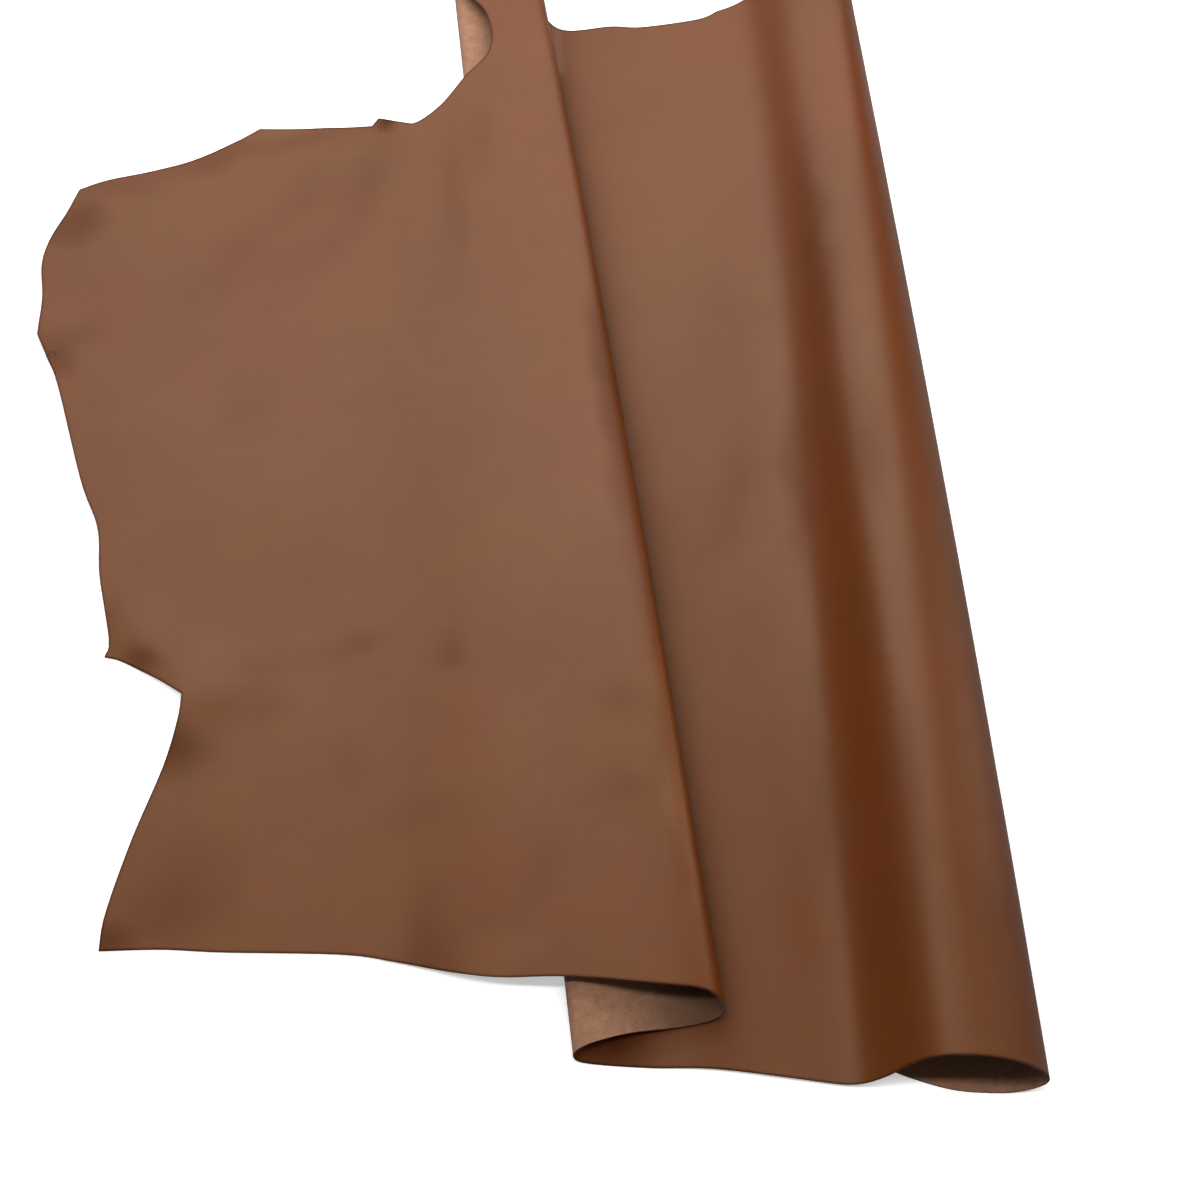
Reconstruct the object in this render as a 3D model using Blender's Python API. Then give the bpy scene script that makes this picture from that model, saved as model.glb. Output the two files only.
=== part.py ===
"""One side of a finished cattle hide, grain out, folded over twice and rolled under once on a flat surface.

The hide is one sheet of leather. It is drawn flat as a cut outline, sliced along its folds, carried onto
the folded cross-section, and given its thickness. Metres, +Z up, +Y along the folds from the back edge to
the belly edge, +X across them towards the roll. The surface that it lies on is z = 0.
"""

import bpy
import bmesh
import numpy as np
from mathutils import Vector

THICKNESS = 0.002
ON_FLOOR = THICKNESS / 2

# The flat hide is measured by y and by `along`, the length across the folds from where the cross-section
# starts: on the floor at x = -0.500, beyond the free end of the top layer.

# The cross-section is a cubic B-spline. It is set at the front, the middle and the rear of the folds, and
# its controls run between them along a parabola in x and a straight line in z.
FRONT_Y = -0.700
REAR_Y = 0.700
SAMPLES_A_SPAN = 12

# Control points: x at the front, the middle and the rear, then z at the front and the rear.
TOP_LAYER = (
    (-0.620, -0.620, -0.620, ON_FLOOR, ON_FLOOR),
    (-0.500, -0.500, -0.500, ON_FLOOR, ON_FLOOR),
    (-0.380, -0.380, -0.380, ON_FLOOR, ON_FLOOR),
    (-0.260, -0.260, -0.240, ON_FLOOR, ON_FLOOR),
    (-0.170, -0.175, -0.150, ON_FLOOR, 0.0045),
    (-0.110, -0.110, -0.090, 0.004, 0.011),
    (-0.050, -0.050, -0.040, 0.021, 0.019),
    (0.010, 0.005, 0.005, 0.036, 0.028),
    (0.060, 0.055, 0.040, 0.043, 0.034),
)
RIGHT_FOLD = (
    (0.093, 0.088, 0.063, 0.0475, 0.038),
    (0.129, 0.1245, 0.092, 0.0478, 0.040),
    (0.153, 0.143, 0.1155, 0.038, 0.0325),
    (0.162, 0.135, 0.1125, 0.016, 0.0125),
    (0.138, 0.120, 0.093, 0.0075, 0.0075),
)
FLESH_LAYER = (
    (0.105, 0.088, 0.066, 0.0075, 0.0075),
    (0.070, 0.060, 0.050, 0.013, 0.011),
)
LEFT_FOLD = (
    (0.038, 0.036, 0.036, 0.022, 0.017),
    (0.013, 0.015, 0.017, 0.022, 0.017),
    (0.013, 0.015, 0.017, ON_FLOOR, ON_FLOOR),
    (0.038, 0.036, 0.036, ON_FLOOR, ON_FLOOR),
)
LOWER_LAYER = (
    (0.065, 0.062, 0.058, ON_FLOOR, ON_FLOOR),
    (0.095, 0.095, 0.090, ON_FLOOR, ON_FLOOR),
    (0.120, 0.120, 0.115, 0.0045, 0.0045),
    (0.150, 0.155, 0.150, 0.0045, 0.0045),
    (0.190, 0.205, 0.210, 0.0055, 0.0050),
    (0.225, 0.253, 0.260, 0.0050, 0.0045),
    (0.245, 0.287, 0.303, 0.0045, 0.0040),
)
ROLL = (
    (0.270, 0.313, 0.343, 0.006, 0.004),
    (0.302, 0.341, 0.368, 0.041, 0.025),
    (0.329, 0.366, 0.395, 0.078, 0.053),
    (0.374, 0.404, 0.437, 0.084, 0.061),
    (0.420, 0.441, 0.461, 0.062, 0.050),
    (0.441, 0.461, 0.466, 0.024, 0.019),
    (0.416, 0.440, 0.448, ON_FLOOR, ON_FLOOR),
)
UNDER_LAYER = (
    (0.375, 0.395, 0.410, ON_FLOOR, ON_FLOOR),
    (0.320, 0.340, 0.360, ON_FLOOR, ON_FLOOR),
    (0.250, 0.270, 0.290, ON_FLOOR, ON_FLOOR),
    (0.180, 0.200, 0.210, ON_FLOOR, ON_FLOOR),
    (0.120, 0.125, 0.125, ON_FLOOR, ON_FLOOR),
    (0.105, 0.110, 0.110, ON_FLOOR, ON_FLOOR),
)
SECTION = np.array(
    TOP_LAYER + RIGHT_FOLD + FLESH_LAYER + LEFT_FOLD + LOWER_LAYER + ROLL + UNDER_LAYER
)

# The cut outline, as (along, y, cut): cut is 1 at a corner and 0 where the edge runs on in a smooth curve.
SMOOTH = 0
CORNER = 1
FREE_END = (
    (0.087, -0.469, CORNER),
    (0.094, -0.432, SMOOTH),
    (0.120, -0.360, SMOOTH),
    (0.152, -0.286, SMOOTH),
    (0.169, -0.236, SMOOTH),
    (0.174, -0.210, CORNER),
    (0.146, -0.186, SMOOTH),
    (0.116, -0.164, SMOOTH),
    (0.099, -0.157, CORNER),
    (0.104, -0.138, SMOOTH),
    (0.096, -0.063, SMOOTH),
    (0.095, -0.006, SMOOTH),
    (0.079, 0.054, SMOOTH),
    (0.057, 0.175, SMOOTH),
    (0.046, 0.212, SMOOTH),
    (0.037, 0.240, CORNER),
    (0.042, 0.290, SMOOTH),
    (0.042, 0.336, SMOOTH),
    (0.052, 0.370, SMOOTH),
    (0.071, 0.402, SMOOTH),
)
BELLY_EDGE = (
    (0.085, 0.429, CORNER),
    (0.124, 0.442, SMOOTH),
    (0.204, 0.458, SMOOTH),
    (0.257, 0.480, SMOOTH),
    (0.285, 0.495, CORNER),
    (0.325, 0.489, SMOOTH),
    (0.365, 0.484, SMOOTH),
    (0.410, 0.475, CORNER),
    (0.418, 0.483, CORNER),
    (0.446, 0.472, SMOOTH),
    (0.461, 0.470, SMOOTH),
    (0.490, 0.488, SMOOTH),
    (0.521, 0.522, SMOOTH),
)
SHANK = (
    (0.546, 0.545, SMOOTH),
    (0.555, 0.573, SMOOTH),
    (0.550, 0.611, SMOOTH),
    (0.530, 0.645, SMOOTH),
    (0.526, 0.680, SMOOTH),
    (0.555, 0.704, SMOOTH),
    (0.630, 0.710, SMOOTH),
    (0.720, 0.706, SMOOTH),
    (0.785, 0.688, SMOOTH),
    (0.830, 0.640, SMOOTH),
    (0.861, 0.600, SMOOTH),
)
FLANK_EDGE = (
    (0.918, 0.598, SMOOTH),
    (0.953, 0.593, SMOOTH),
    (1.017, 0.598, SMOOTH),
    (1.041, 0.608, CORNER),
    (1.083, 0.617, SMOOTH),
    (1.160, 0.626, SMOOTH),
    (1.240, 0.634, SMOOTH),
    (1.310, 0.628, SMOOTH),
    (1.380, 0.602, SMOOTH),
    (1.460, 0.578, SMOOTH),
)
HIDDEN_END = (
    (1.550, 0.560, SMOOTH),
    (1.595, 0.500, SMOOTH),
    (1.605, 0.200, SMOOTH),
    (1.605, -0.200, SMOOTH),
    (1.595, -0.480, SMOOTH),
    (1.560, -0.580, SMOOTH),
    (1.510, -0.632, SMOOTH),
)
BACK_EDGE = (
    (1.460, -0.664, SMOOTH),
    (1.430, -0.680, SMOOTH),
    (1.400, -0.692, SMOOTH),
    (1.370, -0.698, SMOOTH),
    (1.340, -0.701, SMOOTH),
    (1.290, -0.701, SMOOTH),
    (1.230, -0.692, SMOOTH),
    (1.160, -0.681, SMOOTH),
    (1.115, -0.681, SMOOTH),
    (1.080, -0.678, SMOOTH),
    (1.030, -0.666, SMOOTH),
    (0.960, -0.649, SMOOTH),
    (0.900, -0.640, SMOOTH),
    (0.860, -0.633, SMOOTH),
    (0.830, -0.626, SMOOTH),
    (0.800, -0.617, SMOOTH),
    (0.760, -0.609, SMOOTH),
    (0.700, -0.606, SMOOTH),
    (0.672, -0.601, SMOOTH),
    (0.645, -0.587, SMOOTH),
    (0.600, -0.577, SMOOTH),
    (0.520, -0.557, SMOOTH),
    (0.460, -0.546, SMOOTH),
    (0.420, -0.534, SMOOTH),
    (0.360, -0.512, SMOOTH),
    (0.310, -0.498, SMOOTH),
    (0.200, -0.483, SMOOTH),
    (0.145, -0.474, SMOOTH),
)
OUTLINE = FREE_END + BELLY_EDGE + SHANK + FLANK_EDGE + HIDDEN_END + BACK_EDGE
OUTLINE_STEP = 0.022

# Soft lifts of a layer off what it lies on: along, y, height, reach in along and reach in y.
LIFTS = (
    (0.176, -0.205, 0.007, 0.075, 0.095),
    (0.128, -0.122, 0.004, 0.055, 0.055),
    (0.085, 0.432, 0.005, 0.090, 0.080),
    (0.045, 0.245, 0.004, 0.050, 0.060),
    (0.425, 0.497, 0.005, 0.060, 0.060),
    (1.025, -0.500, 0.004, 0.060, 0.170),
)

# The flat hide is sliced before it is folded: along the folds, so that each span of the section gets at
# least so many strips and no strip is wider than this, and across them at an even pitch.
STRIPS_A_SPAN = 2
WIDEST_STRIP = 0.045
CROSS_PITCH = 0.070

LEATHER_COLOUR = (0.242, 0.110, 0.060, 1.0)
LEATHER_ROUGHNESS = 0.42


def cubic_b_spline(controls, samples):
    """Points along the uniform cubic B-spline of these control points, `samples` of them in each span."""
    step = np.linspace(0.0, 1.0, samples, endpoint=False)[:, None]
    weights = (
        (1 - step) ** 3,
        3 * step**3 - 6 * step**2 + 4,
        -3 * step**3 + 3 * step**2 + 3 * step + 1,
        step**3,
    )
    spans = [
        sum(weight * controls[first + k] for k, weight in enumerate(weights)) / 6
        for first in range(len(controls) - 3)
    ]
    last = (controls[-3] + 4 * controls[-2] + controls[-1]) / 6
    return np.vstack(spans + [last[None, :]])


def section_at(y):
    """The folded cross-section at y: its points as (x, z), and the length along the sheet at each."""
    share = (y - FRONT_Y) / (REAR_Y - FRONT_Y)
    front, middle, rear, low, high = SECTION.T
    x = (
        front * (1 - share) * (1 - 2 * share)
        + middle * 4 * share * (1 - share)
        + rear * share * (2 * share - 1)
    )
    z = low * (1 - share) + high * share
    points = cubic_b_spline(np.stack([x, z], 1), SAMPLES_A_SPAN)
    steps = np.hypot(*np.diff(points, axis=0).T)
    return points, np.concatenate([[0.0], np.cumsum(steps)])


def lift_at(along, y):
    """How far the soft lifts raise this point of the flat hide."""
    height = 0.0
    for at_along, at_y, rise, reach_along, reach_y in LIFTS:
        far = ((along - at_along) / reach_along) ** 2 + ((y - at_y) / reach_y) ** 2
        height += rise * max(0.0, 1.0 - far) ** 3
    return height


def folded(along, y):
    """Where a point of the flat hide lies once it is folded."""
    points, lengths = section_at(y)
    x = np.interp(along, lengths, points[:, 0])
    z = np.interp(along, lengths, points[:, 1])
    return Vector((x, y, z + lift_at(along, y)))


def smooth_stretch(points, step):
    """Points of a Catmull-Rom curve through these, about `step` apart, without the last one."""
    padded = [2 * points[0] - points[1], *points, 2 * points[-1] - points[-2]]
    found = []
    for before, start, end, after in zip(padded, padded[1:], padded[2:], padded[3:]):
        count = max(1, round(np.linalg.norm(end - start) / step))
        for t in np.arange(count) / count:
            found.append(
                0.5
                * (
                    2 * start
                    + (end - before) * t
                    + (2 * before - 5 * start + 4 * end - after) * t**2
                    + (3 * start - before - 3 * end + after) * t**3
                )
            )
    return found


def outline_points(step):
    """The cut outline of the flat hide, smooth from each corner to the next."""
    places = [np.array(row[:2]) for row in OUTLINE]
    corners = [at for at, row in enumerate(OUTLINE) if row[2] == CORNER]
    found = []
    for first, last in zip(corners, corners[1:] + [corners[0] + len(OUTLINE)]):
        stretch = [places[at % len(places)] for at in range(first, last + 1)]
        found += smooth_stretch(stretch, step)
    return found


def strip_lines():
    """The slices along the folds, each as its place at the front and at the rear."""
    front = section_at(FRONT_Y)[1]
    rear = section_at(REAR_Y)[1]
    samples = np.arange(len(front))
    lines = []
    for start in range(0, len(front) - 1, SAMPLES_A_SPAN):
        width = front[start + SAMPLES_A_SPAN] - front[start]
        strips = max(STRIPS_A_SPAN, int(np.ceil(width / WIDEST_STRIP)))
        for at in start + np.arange(strips) * SAMPLES_A_SPAN / strips:
            lines.append((np.interp(at, samples, front), np.interp(at, samples, rear)))
    return lines


def slice_flat(sheet, point, normal):
    """Cuts the flat hide along one line."""
    geometry = sheet.verts[:] + sheet.edges[:] + sheet.faces[:]
    bmesh.ops.bisect_plane(sheet, geom=geometry, dist=1e-6, plane_co=point, plane_no=normal)


def flat_hide():
    """The cut hide laid out flat, as (along, y, 0), and sliced where it will bend."""
    sheet = bmesh.new()
    sheet.faces.new([sheet.verts.new((along, y, 0.0)) for along, y in outline_points(OUTLINE_STEP)])
    for front, rear in strip_lines():
        lean = Vector((rear - front, REAR_Y - FRONT_Y, 0.0))
        slice_flat(sheet, Vector((front, FRONT_Y, 0.0)), lean.cross(Vector((0, 0, 1))))
    for row in range(int((REAR_Y - FRONT_Y) / CROSS_PITCH) + 1):
        slice_flat(sheet, Vector((0.0, FRONT_Y + row * CROSS_PITCH, 0.0)), Vector((0, 1, 0)))
    return sheet


def leather_material():
    """Finished brown leather with a satin surface."""
    material = bpy.data.materials.new("leather_brown")
    material.use_nodes = True
    shader = material.node_tree.nodes["Principled BSDF"]
    shader.inputs["Base Color"].default_value = LEATHER_COLOUR
    shader.inputs["Roughness"].default_value = LEATHER_ROUGHNESS
    shader.inputs["Metallic"].default_value = 0.0
    return material


def make_hide():
    """The folded hide, one closed sheet."""
    sheet = flat_hide()
    bmesh.ops.triangulate(sheet, faces=sheet.faces[:])
    for vertex in sheet.verts:
        vertex.co = folded(vertex.co.x, vertex.co.y)
    bmesh.ops.recalc_face_normals(sheet, faces=sheet.faces[:])
    mesh = bpy.data.meshes.new("hide")
    sheet.to_mesh(mesh)
    sheet.free()
    mesh.materials.append(leather_material())
    mesh.shade_smooth()
    hide = bpy.data.objects.new("hide", mesh)
    bpy.context.scene.collection.objects.link(hide)
    thickness = hide.modifiers.new("thickness", "SOLIDIFY")
    thickness.thickness = THICKNESS
    thickness.offset = 0.0
    return hide


for old in list(bpy.data.objects):
    bpy.data.objects.remove(old, do_unlink=True)
make_hide()
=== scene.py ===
"""The looks of a folded cattle hide: grain, flesh side, raw cut edge and loose fibres, on a plain pale stage.

Metres, +Z up, +Y along the folds from the back edge to the belly edge, +X across them towards the roll.
The hide lies on z = 0. Run it as a script, or open it as an add-on and use its panel in the 3D view.
"""

import math

import bmesh
import bpy
import numpy as np
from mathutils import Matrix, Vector, kdtree, noise


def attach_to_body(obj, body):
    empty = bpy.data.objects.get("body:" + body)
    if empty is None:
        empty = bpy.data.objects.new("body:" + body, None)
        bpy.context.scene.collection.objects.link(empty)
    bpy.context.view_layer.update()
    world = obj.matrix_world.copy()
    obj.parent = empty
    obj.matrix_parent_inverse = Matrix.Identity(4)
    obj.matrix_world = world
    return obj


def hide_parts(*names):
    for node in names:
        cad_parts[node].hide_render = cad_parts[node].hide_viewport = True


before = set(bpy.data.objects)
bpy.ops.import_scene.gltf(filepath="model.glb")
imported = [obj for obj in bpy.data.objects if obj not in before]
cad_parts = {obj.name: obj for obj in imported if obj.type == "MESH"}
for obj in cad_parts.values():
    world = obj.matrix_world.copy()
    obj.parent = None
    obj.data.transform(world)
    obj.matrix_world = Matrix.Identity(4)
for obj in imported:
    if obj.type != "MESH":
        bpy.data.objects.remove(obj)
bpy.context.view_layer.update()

bl_info = {
    "name": "Folded leather hide",
    "version": (1, 0, 0),
    "blender": (4, 5, 0),
    "location": "3D View > Sidebar > Hide",
    "description": "Folds a cattle hide out of its cut outline and finishes its grain, flesh side and edge",
    "category": "Object",
}

CAD_NODE = "hide"
BODY = "root"

THICKNESS = 0.002
ON_FLOOR = THICKNESS / 2

# The flat hide is measured by y and by `along`, the length across the folds from where the cross-section
# starts: on the floor at x = -0.500, beyond the free end of the top layer.
FRONT_Y = -0.700
REAR_Y = 0.700
SAMPLES_A_SPAN = 16

# The cross-section is a cubic B-spline through the folds: for each control point its x at the front, the
# middle and the rear, then its z at the front and the rear. They are the solid's own.
TOP_LAYER = (
    (-0.620, -0.620, -0.620, ON_FLOOR, ON_FLOOR),
    (-0.500, -0.500, -0.500, ON_FLOOR, ON_FLOOR),
    (-0.380, -0.380, -0.380, ON_FLOOR, ON_FLOOR),
    (-0.260, -0.260, -0.240, ON_FLOOR, ON_FLOOR),
    (-0.170, -0.175, -0.150, ON_FLOOR, 0.0045),
    (-0.110, -0.110, -0.090, 0.004, 0.011),
    (-0.050, -0.050, -0.040, 0.021, 0.019),
    (0.010, 0.005, 0.005, 0.036, 0.028),
    (0.060, 0.055, 0.040, 0.043, 0.034),
)
RIGHT_FOLD = (
    (0.093, 0.088, 0.063, 0.0475, 0.038),
    (0.129, 0.1245, 0.092, 0.0478, 0.040),
    (0.153, 0.143, 0.1155, 0.038, 0.0325),
    (0.162, 0.135, 0.1125, 0.016, 0.0125),
    (0.138, 0.120, 0.093, 0.0075, 0.0075),
)
FLESH_LAYER = (
    (0.105, 0.088, 0.066, 0.0075, 0.0075),
    (0.070, 0.060, 0.050, 0.013, 0.011),
)
LEFT_FOLD = (
    (0.038, 0.036, 0.036, 0.022, 0.017),
    (0.013, 0.015, 0.017, 0.022, 0.017),
    (0.013, 0.015, 0.017, ON_FLOOR, ON_FLOOR),
    (0.038, 0.036, 0.036, ON_FLOOR, ON_FLOOR),
)
LOWER_LAYER = (
    (0.065, 0.062, 0.058, ON_FLOOR, ON_FLOOR),
    (0.095, 0.095, 0.090, ON_FLOOR, ON_FLOOR),
    (0.120, 0.120, 0.115, 0.0045, 0.0045),
    (0.150, 0.155, 0.150, 0.0045, 0.0045),
    (0.190, 0.205, 0.210, 0.0055, 0.0050),
    (0.225, 0.253, 0.260, 0.0050, 0.0045),
    (0.245, 0.287, 0.303, 0.0045, 0.0040),
)
ROLL = (
    (0.270, 0.313, 0.343, 0.006, 0.004),
    (0.302, 0.341, 0.368, 0.041, 0.025),
    (0.329, 0.366, 0.395, 0.078, 0.053),
    (0.374, 0.404, 0.437, 0.084, 0.061),
    (0.420, 0.441, 0.461, 0.062, 0.050),
    (0.441, 0.461, 0.466, 0.024, 0.019),
    (0.416, 0.440, 0.448, ON_FLOOR, ON_FLOOR),
)
UNDER_LAYER = (
    (0.375, 0.395, 0.410, ON_FLOOR, ON_FLOOR),
    (0.320, 0.340, 0.360, ON_FLOOR, ON_FLOOR),
    (0.250, 0.270, 0.290, ON_FLOOR, ON_FLOOR),
    (0.180, 0.200, 0.210, ON_FLOOR, ON_FLOOR),
    (0.120, 0.125, 0.125, ON_FLOOR, ON_FLOOR),
    (0.105, 0.110, 0.110, ON_FLOOR, ON_FLOOR),
)
SECTION = np.array(TOP_LAYER + RIGHT_FOLD + FLESH_LAYER + LEFT_FOLD + LOWER_LAYER + ROLL + UNDER_LAYER)

# The cut outline, as (along, y): each stretch starts at a corner and runs on in a smooth curve to the next.
FREE_END_FRONT = (
    (0.087, -0.469), (0.094, -0.432), (0.120, -0.360), (0.152, -0.286), (0.169, -0.236),
)
NOTCH = (
    (0.174, -0.210), (0.146, -0.186), (0.116, -0.164),
)
FREE_END_MIDDLE = (
    (0.099, -0.157), (0.104, -0.138), (0.096, -0.063), (0.095, -0.006), (0.079, 0.054),
    (0.057, 0.175), (0.046, 0.212),
)
FREE_END_REAR = (
    (0.037, 0.240), (0.042, 0.290), (0.042, 0.336), (0.052, 0.370), (0.071, 0.402),
)
BELLY_FRONT = (
    (0.085, 0.429), (0.124, 0.442), (0.204, 0.458), (0.257, 0.480),
)
BELLY_MIDDLE = (
    (0.285, 0.495), (0.325, 0.489), (0.365, 0.484),
)
BELLY_NICK = ((0.410, 0.475),)
SHANK_AND_FLANK = (
    (0.418, 0.483), (0.446, 0.472), (0.461, 0.470), (0.490, 0.488), (0.521, 0.522),
    (0.546, 0.545), (0.555, 0.573), (0.550, 0.611), (0.530, 0.645), (0.526, 0.680),
    (0.555, 0.704), (0.630, 0.710), (0.720, 0.706), (0.785, 0.688), (0.830, 0.640),
    (0.861, 0.600), (0.918, 0.598), (0.953, 0.593), (1.017, 0.598),
)
ROLL_AND_BACK = (
    (1.041, 0.608), (1.083, 0.617), (1.160, 0.626), (1.240, 0.634), (1.310, 0.628),
    (1.380, 0.602), (1.460, 0.578), (1.550, 0.560), (1.595, 0.500), (1.605, 0.200),
    (1.605, -0.200), (1.595, -0.480), (1.560, -0.580), (1.510, -0.632), (1.460, -0.664),
    (1.430, -0.680), (1.400, -0.692), (1.370, -0.698), (1.340, -0.701), (1.290, -0.701),
    (1.230, -0.692), (1.160, -0.681), (1.115, -0.681), (1.080, -0.678), (1.030, -0.666),
    (0.960, -0.649), (0.900, -0.640), (0.860, -0.633), (0.830, -0.626), (0.800, -0.617),
    (0.760, -0.609), (0.700, -0.606), (0.672, -0.601), (0.645, -0.587), (0.600, -0.577),
    (0.520, -0.557), (0.460, -0.546), (0.420, -0.534), (0.360, -0.512), (0.310, -0.498),
    (0.200, -0.483), (0.145, -0.474),
)
OUTLINE = (
    FREE_END_FRONT, NOTCH, FREE_END_MIDDLE, FREE_END_REAR, BELLY_FRONT, BELLY_MIDDLE, BELLY_NICK,
    SHANK_AND_FLANK, ROLL_AND_BACK,
)

# Soft lifts of a layer off what it lies on: along, y, height, reach in along and reach in y.
LIFTS = (
    (0.176, -0.205, 0.007, 0.075, 0.095),
    (0.128, -0.122, 0.004, 0.055, 0.055),
    (0.085, 0.432, 0.005, 0.090, 0.080),
    (0.045, 0.245, 0.004, 0.050, 0.060),
    (0.425, 0.497, 0.005, 0.060, 0.060),
    (1.025, -0.500, 0.004, 0.060, 0.170),
)

# Soft shallow ridges in the sheet: along and y at one end, the same at the other, half width, height.
RIDGES = (
    (0.372, 0.440, 0.190, 0.245, 0.020, 0.0009),
    (0.330, 0.440, 0.225, 0.330, 0.016, 0.0005),
    (0.440, 0.425, 0.400, 0.335, 0.018, 0.0010),
    (0.385, 0.320, 0.275, 0.205, 0.022, 0.0008),
    (0.508, 0.480, 0.492, 0.290, 0.014, 0.0010),
    (0.552, 0.500, 0.532, 0.380, 0.014, 0.0008),
    (0.290, -0.200, 0.470, -0.190, 0.018, 0.0008),
    (0.215, -0.270, 0.370, -0.275, 0.014, 0.0005),
    (0.330, -0.345, 0.470, -0.340, 0.014, 0.0005),
    (1.046, 0.060, 1.000, -0.130, 0.016, 0.0010),
    (1.080, 0.170, 1.046, 0.060, 0.014, 0.0006),
)

# Painted shade on the grain, partly also the leather's own tone: darker, less glossy places that stand in
# for the shade of slopes, creases and hollows (below zero, painted light: paler and glossier). Columns:
# along, y, how much, reach in along and reach in y.
SHADE_AND_TONE_PATCHES = (
    (0.428, 0.474, 0.80, 0.018, 0.016),
    (0.346, -0.172, 0.22, 0.060, 0.032),
    (0.438, -0.195, 0.24, 0.036, 0.040),
    (0.600, -0.285, 0.18, 0.040, 0.040),
    (0.589, -0.380, 0.18, 0.050, 0.036),
    (0.332, -0.305, 0.12, 0.040, 0.044),
    (0.388, -0.530, 0.20, 0.060, 0.070),
    (0.098, -0.462, 0.50, 0.050, 0.036),
    (0.150, -0.440, 0.22, 0.100, 0.060),
    (0.175, -0.400, 0.14, 0.110, 0.080),
    (0.172, -0.270, 0.22, 0.055, 0.060),
    (0.250, -0.060, 0.10, 0.190, 0.150),
    (0.470, -0.360, -0.12, 0.110, 0.240),
    (0.460, -0.525, -0.25, 0.075, 0.050),
    # Painted shade inside the mouth of the left fold, at the front.
    (0.865, -0.620, 0.75, 0.085, 0.050),
    (1.000, -0.080, 0.14, 0.160, 0.420),
    (1.030, 0.170, 0.10, 0.080, 0.180),
    (1.030, -0.380, 0.12, 0.080, 0.260),
    (0.950, -0.610, 0.06, 0.120, 0.080),
    (1.150, 0.050, 0.12, 0.060, 0.600),
    (1.262, -0.560, 0.18, 0.070, 0.200),
    (1.156, 0.150, 0.14, 0.022, 0.090),
)

# Painted shade and painted light the same way, in long soft streaks: along and y at one end, the same at the
# other, half width and how much.
SHADE_AND_TONE_STREAKS = (
    (0.040, 0.368, 0.130, 0.408, 0.034, 0.38),
    (0.020, 0.230, 0.115, 0.240, 0.026, 0.26),
    (0.042, 0.240, 0.070, 0.180, 0.022, 0.34),
    (0.060, 0.418, 0.200, 0.455, 0.030, 0.20),
    (0.150, 0.445, 0.300, 0.482, 0.034, 0.30),
    (0.235, 0.470, 0.430, 0.478, 0.020, 0.22),
    (0.450, 0.490, 0.345, 0.300, 0.046, 0.17),
    (0.390, 0.370, 0.250, 0.220, 0.050, 0.11),
    (0.375, 0.460, 0.290, 0.335, 0.040, 0.12),
    (0.340, 0.400, 0.170, 0.240, 0.046, 0.12),
    (0.285, 0.175, 0.225, 0.055, 0.034, 0.06),
    (0.502, 0.520, 0.487, 0.200, 0.030, 0.16),
    (0.536, 0.500, 0.526, 0.360, 0.028, 0.12),
    # Painted shade along the rim of the right fold, then a painted highlight along its lip towards the front.
    (0.640, 0.370, 0.629, -0.190, 0.024, 0.42),
    (0.646, -0.160, 0.642, -0.640, 0.018, -0.50),
    (0.100, -0.150, 0.165, -0.180, 0.028, 0.55),
    (0.174, -0.215, 0.150, -0.310, 0.030, 0.32),
    (0.160, -0.218, 0.300, -0.232, 0.040, 0.18),
    (0.160, -0.187, 0.360, -0.180, 0.020, 0.12),
    (0.320, -0.370, 0.470, -0.360, 0.028, 0.10),
    (0.512, -0.380, 0.502, -0.500, 0.030, 0.12),
    (0.396, -0.400, 0.384, -0.580, 0.038, 0.18),
    (1.056, 0.090, 1.000, -0.120, 0.034, 0.11),
    (1.020, -0.040, 0.990, -0.150, 0.028, 0.08),
    (1.140, 0.430, 1.144, 0.060, 0.030, 0.26),
    (1.184, 0.050, 1.184, -0.150, 0.028, 0.20),
    (1.182, -0.220, 1.184, -0.620, 0.016, 0.22),
    (1.095, 0.110, 1.084, -0.200, 0.024, 0.28),
    (1.086, -0.140, 1.083, -0.640, 0.022, 0.24),
)

# Painted shade on the flesh side, within the two rolled mouths, in the same columns.
FLESH_SHADE_PATCHES = (
    (0.690, -0.600, 0.80, 0.105, 0.300),
    (1.300, -0.600, 0.30, 0.300, 0.400),
)

# Small healed marks and pits in the grain: along, y, radius, and how much darker (or, below zero, lighter).
MARKS = (
    (0.052, 0.214, 0.0046, 0.55),
    (0.290, -0.358, 0.0014, 0.70),
    (0.117, 0.365, 0.0016, 0.35),
    (0.205, 0.195, 0.0012, -0.25),
    (0.880, -0.360, 0.0012, 0.60),
    (0.230, 0.390, 0.0010, 0.30),
)

# The names of the sheet's UV map and attributes.
FLAT_UV = "flat_pattern"
GRAIN_SHADE_AND_TONE = "grain_tone"
FLESH_SHADE = "flesh_tone"
OUTWARD = "outward"

# How near a slice a point counts as on it, and where two faces meet in an edge and not in a curve.
SLICE_REACH = 2e-4
SHARP_ANGLE = math.radians(50.0)

# What a full tone does to the grain, the tone being mostly painted shade and, below zero, painted light: how
# far it darkens the dye, takes away gloss and adds roughness. Then how far the borders of the tones wander,
# how long their waves are, and what parts the two directions.
TONE_DEPTH = 0.55
GLOSS = 0.5
GLOSS_LOSS = 0.5
TONE_ROUGHNESS = 0.10
WOBBLE = 0.012
WOBBLE_SIZE = 0.05
WOBBLE_SHIFT = Vector((31.4, 15.9, 26.5))
# The colour that the flesh side turns towards under its painted shade.
SHADED_FLESH_COLOUR = (0.060, 0.024, 0.010, 1.0)

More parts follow.
